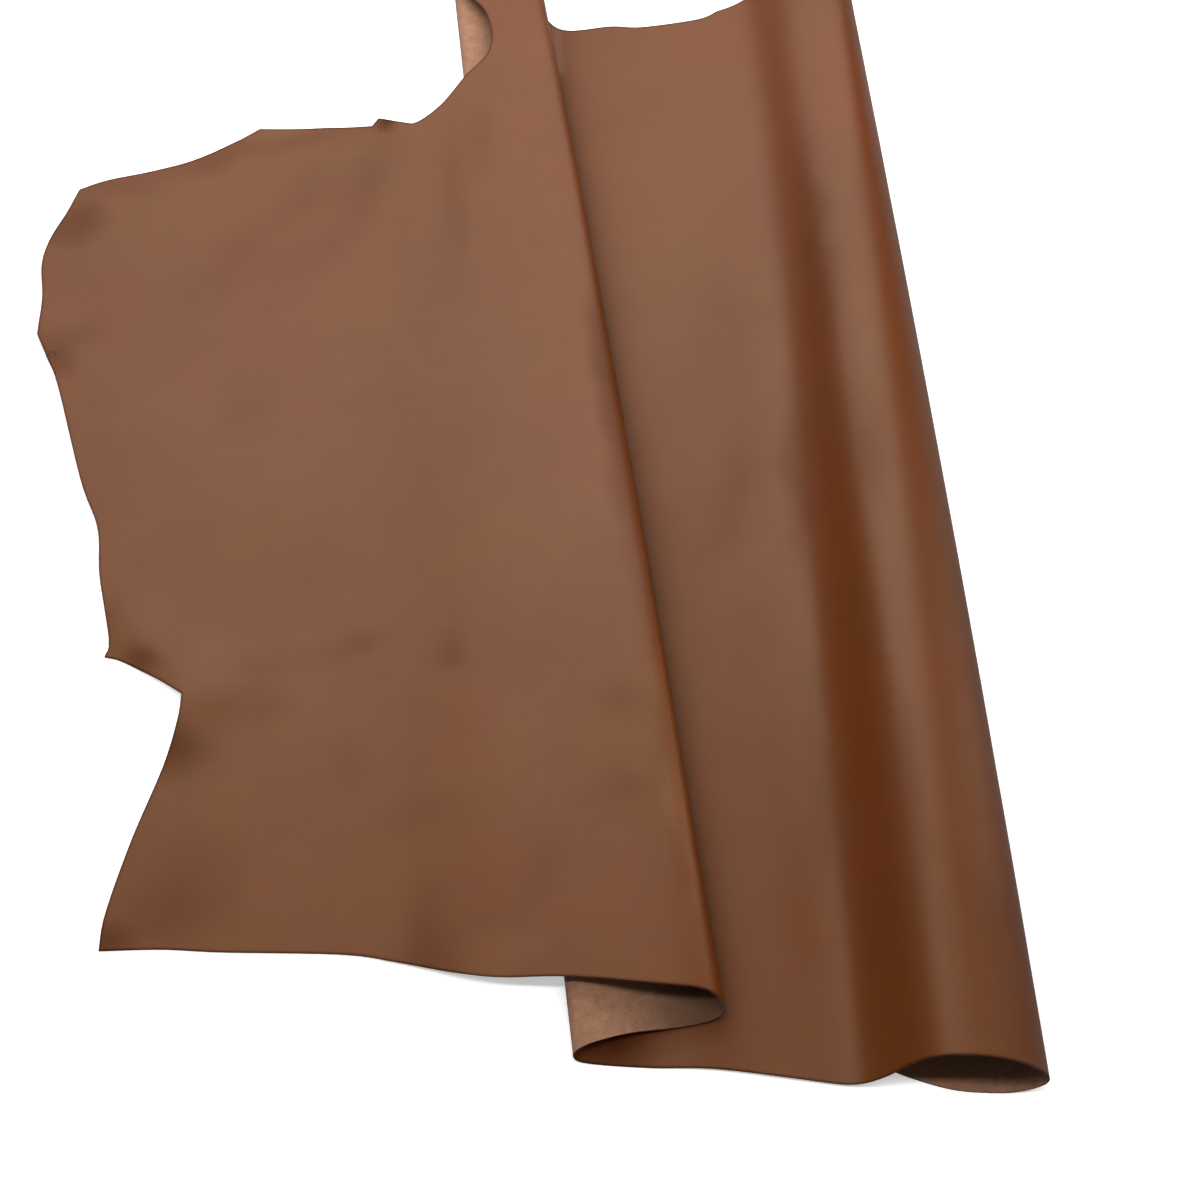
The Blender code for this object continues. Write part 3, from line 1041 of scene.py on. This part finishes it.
def mark_group():
    """One small healed mark: a dark ring with a paler middle."""
    group, given, made = new_group("healed_mark", {"Centre": (0.0, 0.0, 0.0), "Radius": 0.002}, ("Mark",))
    far = add_node(
        group,
        "ShaderNodeVectorMath",
        {"operation": "DISTANCE"},
        {0: given.outputs["Vector"], 1: given.outputs["Centre"]},
    ).outputs["Value"]
    share = calculate(group, "DIVIDE", far, given.outputs["Radius"])
    outer = ramp_between(group, share, *MARK_RIM, 1.0, 0.0)
    middle = ramp_between(group, share, *MARK_MIDDLE, LEAST_MARK, 1.0)
    join(group, calculate(group, "MULTIPLY", outer, middle), made.inputs["Mark"])
    return group


# --------------------------------------
# Materials
# --------------------------------------


def flat_coordinates(tree):
    """Places on the flat hide, in metres, so that the grain turns with the folds."""
    return add_node(tree, "ShaderNodeUVMap", {"uv_map": FLAT_UV}).outputs["UV"]


def shade_painted(tree, name):
    """How much painted shade the sheet has here, from one of its own attributes; on the grain it is partly
    tone too.
    """
    return add_node(tree, "ShaderNodeAttribute", {"attribute_name": name}).outputs["Fac"]


def drift_over(tree, groups, place, sizes, contrast):
    """The slow changes of tone over a material, in broad and fine patches of these sizes."""
    inputs = {"Vector": place, "Broad Size": sizes[0], "Fine Size": sizes[1], "Contrast": contrast}
    return place_group(tree, groups["tone_drift"], inputs)


def grain_material(settings, groups):
    """Dyed full grain with a satin finish."""
    material, tree, shader = new_material("leather_grain")
    place = flat_coordinates(tree)
    drift = drift_over(tree, groups, place, GRAIN_PATCHES, settings.drift)
    grain = place_group(tree, groups["skin_grain"], {"Vector": place, "Cell Size": settings.cell_size})
    cool = scaled(settings.colour, COOL_DYE)
    warm = scaled(settings.colour, WARM_DYE)
    colour = mix_colours(tree, drift.outputs["Warmth"], cool, warm)
    shade = drift.outputs["Shade"]
    for along, y, radius, depth in MARKS:
        mark = place_group(
            tree, groups["healed_mark"], {"Vector": place, "Centre": (along, y, 0.0), "Radius": radius}
        ).outputs["Mark"]
        shade = calculate(tree, "MULTIPLY", shade, calculate(tree, "MULTIPLY_ADD", mark, -depth, 1.0))
    pore_shade = calculate(tree, "MULTIPLY_ADD", grain.outputs["Pores"], -PORE_SHADE, 1.0)
    shade = calculate(tree, "MULTIPLY", shade, pore_shade)
    # Painted shade from the sheet's attribute darkens the dye, takes away gloss and adds roughness; below
    # zero it is painted light.
    tone = shade_painted(tree, GRAIN_SHADE_AND_TONE)
    deeper = calculate(tree, "MULTIPLY_ADD", tone, -TONE_DEPTH, 1.0)
    shade = calculate(tree, "MULTIPLY", shade, deeper)
    join(tree, shaded(tree, colour, shade), shader.inputs["Base Color"])
    worn = calculate(tree, "SUBTRACT", drift.outputs["Shade"], 1.0)
    rough = calculate(tree, "MULTIPLY_ADD", worn, -DRIFT_POLISH, settings.roughness)
    rough = calculate(tree, "MULTIPLY_ADD", tone, TONE_ROUGHNESS, rough)
    join(tree, rough, shader.inputs["Roughness"])
    gloss = calculate(tree, "MULTIPLY_ADD", tone, -GLOSS_LOSS, GLOSS)
    join(tree, gloss, shader.inputs["Specular IOR Level"])
    shader.inputs["Specular Tint"].default_value = (*settings.gloss_tint, 1.0)
    raise_relief(tree, shader, grain.outputs["Height"], settings.relief, 1.0)
    return material


def flesh_material(settings, groups):
    """The brushed, fibrous flesh side."""
    material, tree, shader = new_material("leather_flesh")
    place = flat_coordinates(tree)
    mat = place_group(tree, groups["fibre_mat"], {"Vector": place, "Fibre Size": FLESH_FIBRE})
    drift = drift_over(tree, groups, place, FLESH_PATCHES, FLESH_CONTRAST)
    colour = mix_colours(
        tree, mat.outputs["Gaps"], (*settings.colour, 1.0), (*settings.shadow_colour, 1.0)
    )
    toned = shaded(tree, colour, drift.outputs["Shade"])
    # Painted shade within the two rolled mouths turns the flesh side towards a darker colour.
    deep = mix_colours(tree, shade_painted(tree, FLESH_SHADE), toned, SHADED_FLESH_COLOUR)
    join(tree, deep, shader.inputs["Base Color"])
    set_finish(shader, FLESH_FINISH)
    shader.inputs["Sheen Weight"].default_value = SHEEN
    shader.inputs["Sheen Roughness"].default_value = SHEEN_ROUGHNESS
    raise_relief(tree, shader, mat.outputs["Height"], *FLESH_RELIEF)
    return material


def edge_material(settings, groups):
    """The raw edge that the knife leaves: dark, open fibres."""
    material, tree, shader = new_material("leather_cut_edge")
    place = add_node(tree, "ShaderNodeTexCoord").outputs["Object"]
    mat = place_group(tree, groups["fibre_mat"], {"Vector": place, "Fibre Size": EDGE_FIBRE})
    dark = scaled(settings.edge_colour, 3 * (PIT_SHADE,))
    colour = mix_colours(tree, mat.outputs["Gaps"], (*settings.edge_colour, 1.0), dark)
    join(tree, colour, shader.inputs["Base Color"])
    set_finish(shader, EDGE_FINISH)
    raise_relief(tree, shader, mat.outputs["Height"], *EDGE_RELIEF)
    return material


def fibre_material(settings, groups):
    """Loose fibres that vary in tone."""
    material, tree, shader = new_material(FIBRE_MATERIAL)
    place = add_node(tree, "ShaderNodeTexCoord").outputs["Object"]
    drift = drift_over(tree, groups, place, FIBRE_PATCHES, FIBRE_CONTRAST)
    toned = shaded(tree, (*settings.fibre_colour, 1.0), drift.outputs["Shade"])
    join(tree, toned, shader.inputs["Base Color"])
    set_finish(shader, EDGE_FINISH)
    return material


def floor_material(settings):
    """A pale matt floor with a hardly visible tooth."""
    material, tree, shader = new_material("pale_floor")
    place = add_node(tree, "ShaderNodeTexCoord").outputs["Object"]
    speckle = noise_at(tree, place, FLOOR_SPECKLE, 2.0)
    low = scaled(settings.floor_colour, 3 * (SPECKLE_SHADE,))
    pale = mix_colours(tree, speckle, low, (*settings.floor_colour, 1.0))
    seen = add_node(tree, "ShaderNodeLightPath").outputs["Is Camera Ray"]
    dim = scaled(settings.floor_colour, 3 * (settings.floor_bounce,))
    colour = mix_colours(tree, seen, dim, pale)
    join(tree, colour, shader.inputs["Base Color"])
    shader.inputs["Emission Color"].default_value = (1.0, 1.0, 1.0, 1.0)
    glow = calculate(tree, "MULTIPLY", seen, settings.floor_glow)
    join(tree, glow, shader.inputs["Emission Strength"])
    set_finish(shader, FLOOR_FINISH)
    return material


def shader_groups():
    """The shader groups, each made once."""
    makers = {
        "tone_drift": tone_drift_group,
        "skin_grain": skin_grain_group,
        "fibre_mat": fibre_mat_group,
        "healed_mark": mark_group,
    }
    return {name: bpy.data.node_groups.get(name) or make() for name, make in makers.items()}


# --------------------------------------
# Operators
# --------------------------------------


class HIDE_OT_fold_sheet(bpy.types.Operator):
    """Folds the hide out of its flat outline, with its grain, flesh side and cut edge"""

    bl_idname = "hide.fold_sheet"
    bl_label = "Fold the Sheet"

    def execute(self, context):
        settings = context.scene.hide_sheet
        sheet = flat_hide(settings)
        keep_flat_pattern(sheet)
        ragged = [face for face in sheet.faces if len(face.verts) > 4]
        bmesh.ops.triangulate(sheet, faces=ragged)
        fold_sheet(sheet)
        mesh = as_mesh(sheet, "hide_sheet")
        groups = shader_groups()
        mesh.materials.append(grain_material(context.scene.hide_grain, groups))
        mesh.materials.append(flesh_material(context.scene.hide_flesh, groups))
        mesh.materials.append(edge_material(context.scene.hide_flesh, groups))
        mesh.shade_smooth()
        piece = bare_object("hide_sheet", mesh)
        thicken = piece.modifiers.new("thickness", "SOLIDIFY")
        thicken.thickness = settings.thickness
        thicken.offset = 0.0
        thicken.material_offset = FLESH_INDEX
        thicken.material_offset_rim = EDGE_INDEX
        settle(piece)
        piece.data.set_sharp_from_angle(angle=SHARP_ANGLE)
        attach(piece)
        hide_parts(CAD_NODE)
        return {"FINISHED"}


class HIDE_OT_raise_edge_fibres(bpy.types.Operator):
    """Raises loose fibres out of the raw cut edge"""

    bl_idname = "hide.raise_edge_fibres"
    bl_label = "Raise the Edge Fibres"

    def execute(self, context):
        settings = context.scene.hide_flesh
        fibre_material(settings, shader_groups())
        line = cut_edge_line(context.scene.hide_sheet.outline_step)
        values = {"Spacing": settings.fibre_spacing, "Length": settings.fibre_length}
        raise_fibres("cut_edge_fibres", line, edge_fibre_tree(), settings, values)
        return {"FINISHED"}


class HIDE_OT_raise_flesh_nap(bpy.types.Operator):
    """Raises a short nap on the flesh side near the cut edge"""

    bl_idname = "hide.raise_flesh_nap"
    bl_label = "Raise the Flesh Nap"

    def execute(self, context):
        settings = context.scene.hide_flesh
        sheet = bpy.data.objects["hide_sheet"]
        belt = flesh_belt(sheet, context.scene.hide_sheet.outline_step)
        values = {"Density": settings.nap_density, "Length": settings.nap_length}
        nap = raise_fibres("flesh_nap", belt, flesh_nap_tree(), settings, values)
        return {"FINISHED"}


class HIDE_OT_set_stage(bpy.types.Operator):
    """Adds the pale floor, the soft lights and the camera"""

    bl_idname = "hide.set_stage"
    bl_label = "Set the Stage"

    def execute(self, context):
        settings = context.scene.hide_studio
        add_floor(settings)
        for name, power, place, size, colour in (
            ("overhead", settings.overhead_power, OVERHEAD_PLACE, STRIP_SIZE, NEUTRAL),
            ("middle", settings.middle_power, MIDDLE_PLACE, STRIP_SIZE, NEUTRAL),
            ("far", settings.far_power, FAR_PLACE, FAR_SIZE, COOL),
            ("upper", settings.upper_power, UPPER_PLACE, UPPER_SIZE, WARM),
            ("side", settings.side_power, SIDE_PLACE, SIDE_SIZE, WARM),
        ):
            add_soft_light(name, power, place, size, colour)
        add_room_light(settings.room_light)
        add_camera()
        return {"FINISHED"}


# --------------------------------------
# Stage
# --------------------------------------

FLOOR_SIZE = 12.0
FLOOR_CELLS = 8
FLOOR_DROP = 0.0004
FLOOR_SPECKLE = 0.4
SPECKLE_SHADE = 0.985
CAMERA_TARGET = (0.0925, -0.147, 0.0)
CAMERA_ELEVATION = math.radians(60.0)
CAMERA_TURN = math.radians(6.5)
CAMERA_DISTANCE = 2.6667
LENS_MM = 80.0
SENSOR_MM = 36.0
LIGHT_TARGET = (0.1, 0.0, 0.0)
STRIP_SIZE = (6.0, 0.3)
OVERHEAD_PLACE = (0.0, -0.80, 2.95)
MIDDLE_PLACE = (0.0, -0.20, 2.95)
FAR_PLACE = (0.12, 0.77, 0.73)
FAR_SIZE = (1.7, 1.2)
UPPER_PLACE = (0.0, 0.60, 1.70)
UPPER_SIZE = (2.0, 0.8)
SIDE_PLACE = (1.7, 0.20, 0.50)
SIDE_SIZE = (0.6, 2.0)
NEUTRAL = (1.0, 1.0, 1.0)
COOL = (0.90, 0.94, 1.0)
WARM = (1.0, 0.95, 0.85)


def add_floor(settings):
    """The plain floor, just clear of the hide."""
    sheet = bmesh.new()
    bmesh.ops.create_grid(sheet, x_segments=FLOOR_CELLS, y_segments=FLOOR_CELLS, size=FLOOR_SIZE / 2)
    bmesh.ops.translate(sheet, verts=sheet.verts, vec=(0.0, 0.0, -FLOOR_DROP))
    mesh = as_mesh(sheet, "floor")
    mesh.materials.append(floor_material(settings))
    bare_object("floor", mesh)


def aim(place, target):
    """The turn of an object at `place` whose -Z looks at `target`."""
    return (Vector(target) - Vector(place)).to_track_quat("-Z", "Y").to_euler()


def add_soft_light(name, power, place, size, colour):
    """One wide soft light, turned to the middle of the hide and not seen itself."""
    light = bpy.data.lights.new(name, "AREA")
    light.shape = "RECTANGLE"
    light.size, light.size_y = size
    light.energy = power
    light.color = colour
    made = bare_object(name, light)
    made.location = place
    made.rotation_euler = aim(place, LIGHT_TARGET)
    made.visible_camera = False


def add_room_light(strength):
    """Even light from the room around."""
    world = bpy.data.worlds.new("room")
    world.use_nodes = True
    background = world.node_tree.nodes["Background"]
    background.inputs["Color"].default_value = (1.0, 1.0, 1.0, 1.0)
    background.inputs["Strength"].default_value = strength
    bpy.context.scene.world = world


def add_camera():
    """The camera, looking down at the hide from beyond its back edge."""
    data = bpy.data.cameras.new("camera")
    data.lens = LENS_MM
    data.sensor_width = SENSOR_MM
    camera = bare_object("camera", data)
    look = Vector(
        (
            math.sin(CAMERA_TURN) * math.cos(CAMERA_ELEVATION),
            math.cos(CAMERA_TURN) * math.cos(CAMERA_ELEVATION),
            -math.sin(CAMERA_ELEVATION),
        )
    )
    camera.location = Vector(CAMERA_TARGET) - CAMERA_DISTANCE * look
    camera.rotation_euler = look.to_track_quat("-Z", "Y").to_euler()
    bpy.context.scene.camera = camera
    bpy.context.scene.view_settings.view_transform = "Standard"


# --------------------------------------
# Panel and registration
# --------------------------------------


class VIEW3D_PT_hide(bpy.types.Panel):
    """Lists the steps and settings of the folded hide"""

    bl_idname = "VIEW3D_PT_hide"
    bl_label = "Folded Hide"
    bl_space_type = "VIEW_3D"
    bl_region_type = "UI"
    bl_category = "Hide"

    def draw(self, context):
        scene = context.scene
        for title, settings, operators in (
            ("Sheet", scene.hide_sheet, (HIDE_OT_fold_sheet,)),
            ("Grain", scene.hide_grain, ()),
            (
                "Flesh side and edge",
                scene.hide_flesh,
                (HIDE_OT_raise_edge_fibres, HIDE_OT_raise_flesh_nap),
            ),
            ("Stage", scene.hide_studio, (HIDE_OT_set_stage,)),
        ):
            box = self.layout.box()
            box.label(text=title)
            for name in settings.bl_rna.properties.keys():
                if name not in ("rna_type", "name"):
                    box.prop(settings, name)
            for operator in operators:
                box.operator(operator.bl_idname)


GROUPS = {
    "hide_sheet": HideSheetSettings,
    "hide_grain": GrainSettings,
    "hide_flesh": FleshSettings,
    "hide_studio": StudioSettings,
}
CLASSES = (
    *GROUPS.values(),
    HIDE_OT_fold_sheet,
    HIDE_OT_raise_edge_fibres,
    HIDE_OT_raise_flesh_nap,
    HIDE_OT_set_stage,
    VIEW3D_PT_hide,
)


def register():
    """Adds the classes and their settings."""
    for each in CLASSES:
        bpy.utils.register_class(each)
    for name, group in GROUPS.items():
        setattr(bpy.types.Scene, name, bpy.props.PointerProperty(type=group))


def unregister():
    """Takes the classes and their settings away."""
    for name in GROUPS:
        delattr(bpy.types.Scene, name)
    for each in reversed(CLASSES):
        bpy.utils.unregister_class(each)


def main():
    """Makes the pieces and the stage."""
    register()
    bpy.ops.hide.set_stage()
    bpy.ops.hide.fold_sheet()
    bpy.ops.hide.raise_edge_fibres()
    bpy.ops.hide.raise_flesh_nap()


if __name__ == "__main__":
    main()
